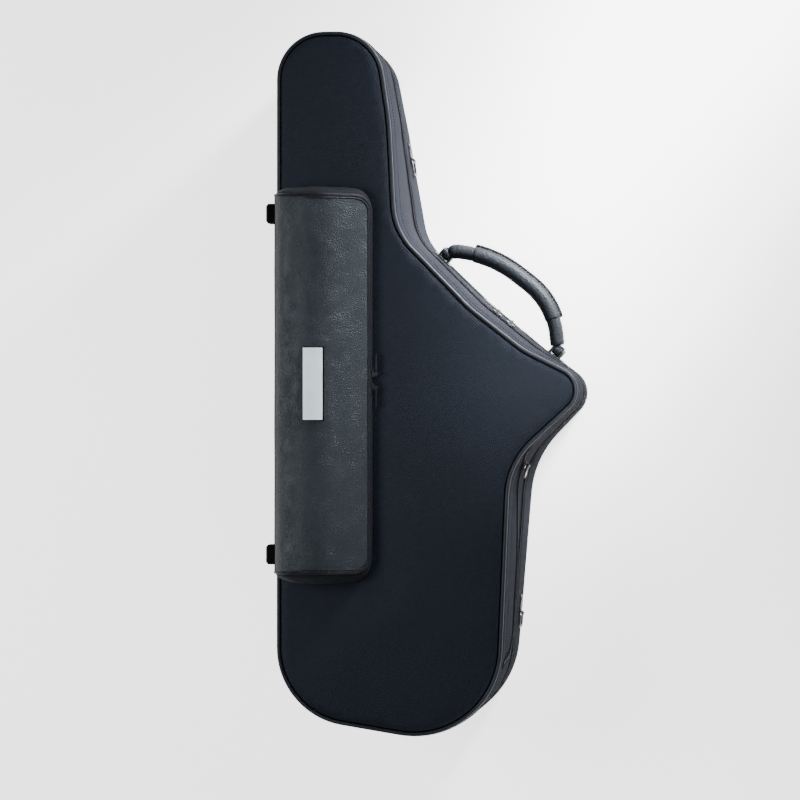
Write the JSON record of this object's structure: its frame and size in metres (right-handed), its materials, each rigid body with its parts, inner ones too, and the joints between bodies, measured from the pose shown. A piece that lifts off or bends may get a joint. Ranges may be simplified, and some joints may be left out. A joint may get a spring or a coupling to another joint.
{
  "type": "tenor saxophone case",
  "caption": "Shaped soft case for a tenor saxophone with a zipped lid, a padded accessory pocket, a side handle, strap rings and rubber feet.",
  "frame": {"origin": "middle of the back's resting face, halfway along the case's length and width", "axes": "+Z from the back to the front face, +Y along the case towards the neck end, +X towards the handle and the bell"},
  "size_m": [0.3764, 0.8398, 0.2569],
  "materials": {
    "woven_cloth": "fine twill",
    "band_leatherette": "satin grain",
    "binding_leatherette": "satin grain",
    "piping_leatherette": "satin",
    "shell_board": "matt foam board",
    "plush_lining": "plush",
    "zipper_tape": "woven",
    "zipper_teeth": "satin",
    "nickel_plate": "bright",
    "anchor_metal": "satin black",
    "handle_leather": "semi-gloss",
    "strap_leather": "satin",
    "gusset_cloth": "woven",
    "foot_rubber": "matt",
    "plate_metal": "brushed"
  },
  "bodies": {
    "base": {"back_panel": "woven_cloth", "back_shell": "shell_board", "back_band": "band_leatherette", "back_piping": "piping_leatherette", "base_cradle": "plush_lining", "neck_saddle": "plush_lining", "body_saddle": "plush_lining", "bell_saddle": "plush_lining", "base_zipper_tape": "zipper_tape", "base_zipper_teeth": "zipper_teeth", "hinge_leaf_base": "band_leatherette", "handle_anchor_upper": "anchor_metal", "handle_anchor_lower": "anchor_metal", "handle_pins": "nickel_plate", "handle_anchor_rivets": "nickel_plate", "strap_tab_neck": "strap_leather", "strap_tab_lower": "strap_leather", "strap_tab_rivets": "nickel_plate", "base_spine_feet": "foot_rubber"},
    "lid": {"lid_panel": "woven_cloth", "lid_shell": "shell_board", "lid_band": "band_leatherette", "lid_binding": "binding_leatherette", "front_piping": "piping_leatherette", "lid_liner": "plush_lining", "lid_zipper_tape": "zipper_tape", "lid_zipper_teeth": "zipper_teeth", "hinge_leaf_lid": "band_leatherette", "lid_spine_feet": "foot_rubber", "pocket_floor": "zipper_tape", "pocket_lower_tape": "zipper_tape", "pocket_lower_teeth": "zipper_teeth", "document_zip_tape": "zipper_tape", "document_zip_teeth": "zipper_teeth"},
    "handle": {"handle_core": "handle_leather", "handle_sleeve": "handle_leather", "handle_eyes": "anchor_metal"},
    "neck_ring": {"strap_ring_neck": "nickel_plate"},
    "lower_ring": {"strap_ring_lower": "nickel_plate"},
    "upper_slider": {"main_slider_upper": "nickel_plate"},
    "lower_slider": {"main_slider_lower": "nickel_plate"},
    "upper_puller": {"main_puller_upper": "nickel_plate"},
    "lower_puller": {"main_puller_lower": "nickel_plate"},
    "document_slider": {"document_slider": "nickel_plate"},
    "document_puller": {"document_puller": "nickel_plate"},
    "pocket_cover": {"pocket_cover": "band_leatherette", "pocket_gusset_upper": "gusset_cloth", "pocket_gusset_lower": "gusset_cloth", "pocket_upper_teeth": "zipper_teeth", "name_plate": "plate_metal"},
    "pocket_upper_slider": {"pocket_slider_upper": "nickel_plate"},
    "pocket_lower_slider": {"pocket_slider_lower": "nickel_plate"},
    "pocket_upper_puller": {"pocket_puller_upper": "nickel_plate"},
    "pocket_lower_puller": {"pocket_puller_lower": "nickel_plate"}
  },
  "joints": [
    {"name": "lid_hinge", "type": "hinge", "parent": "base", "child": "lid", "pos_m": [-0.1825, 0, 0.08], "axis": [0, -1, 0], "range_deg": [0, 105]},
    {"name": "handle_swing", "type": "hinge", "parent": "base", "child": "handle", "pos_m": [0.07004, 0.10081, 0.0401], "axis": [-0.7553, 0.6554, 0], "range_deg": [-70, 50]},
    {"name": "neck_ring_swing", "type": "hinge", "parent": "base", "child": "neck_ring", "pos_m": [-0.04132, 0.27508, 0.03794], "axis": [0.0169, 0.0027, 0.9999], "range_deg": [0, 150]},
    {"name": "lower_ring_swing", "type": "hinge", "parent": "base", "child": "lower_ring", "pos_m": [0.09317, -0.27977, 0.03795], "axis": [0.0136, -0.001, 0.9999], "range_deg": [0, 150]},
    {"name": "upper_slider_travel", "type": "slide", "parent": "base", "child": "upper_slider", "axis": [-0.7755, 0.6314, 0], "range_m": [0, 0.008]},
    {"name": "lower_slider_travel", "type": "slide", "parent": "base", "child": "lower_slider", "axis": [0.7755, -0.6314, 0], "range_m": [0, 0.024]},
    {"name": "upper_puller_flip", "type": "hinge", "parent": "upper_slider", "child": "upper_puller", "pos_m": [0.07033, 0.08902, 0.08014], "axis": [0.0159, 0.0196, -0.9997], "range_deg": [0, 165]},
    {"name": "lower_puller_flip", "type": "hinge", "parent": "lower_slider", "child": "lower_puller", "pos_m": [0.08636, 0.07597, 0.08013], "axis": [0.0139, 0.0171, -0.9998], "range_deg": [-165, 0]},
    {"name": "document_slider_travel", "type": "slide", "parent": "lid", "child": "document_slider", "axis": [-0.2003, -0.4583, -0.866], "range_m": [0, 0.012]},
    {"name": "document_puller_flip", "type": "hinge", "parent": "document_slider", "child": "document_puller", "pos_m": [0.11409, -0.09987, 0.15507], "axis": [-0.3702, -0.7829, 0.5], "range_deg": [0, 165]},
    {"name": "pocket_cover_lift", "type": "hinge", "parent": "lid", "child": "pocket_cover", "pos_m": [-0.1791, 0, 0.2064], "axis": [0, -1, 0], "range_deg": [0, 60]},
    {"name": "pocket_upper_slider_travel", "type": "slide", "parent": "lid", "child": "pocket_upper_slider", "axis": [0, 1, 0], "range_m": [0, 0.2]},
    {"name": "pocket_lower_slider_travel", "type": "slide", "parent": "lid", "child": "pocket_lower_slider", "axis": [0, -1, 0], "range_m": [0, 0.2]},
    {"name": "pocket_upper_puller_flip", "type": "hinge", "parent": "pocket_upper_slider", "child": "pocket_upper_puller", "pos_m": [-0.059, 0.01162, 0.21165], "axis": [0, 0, -1], "range_deg": [0, 165]},
    {"name": "pocket_lower_puller_flip", "type": "hinge", "parent": "pocket_lower_slider", "child": "pocket_lower_puller", "pos_m": [-0.059, -0.00447, 0.21165], "axis": [0, 0, 1], "range_deg": [0, 165]}
  ]
}
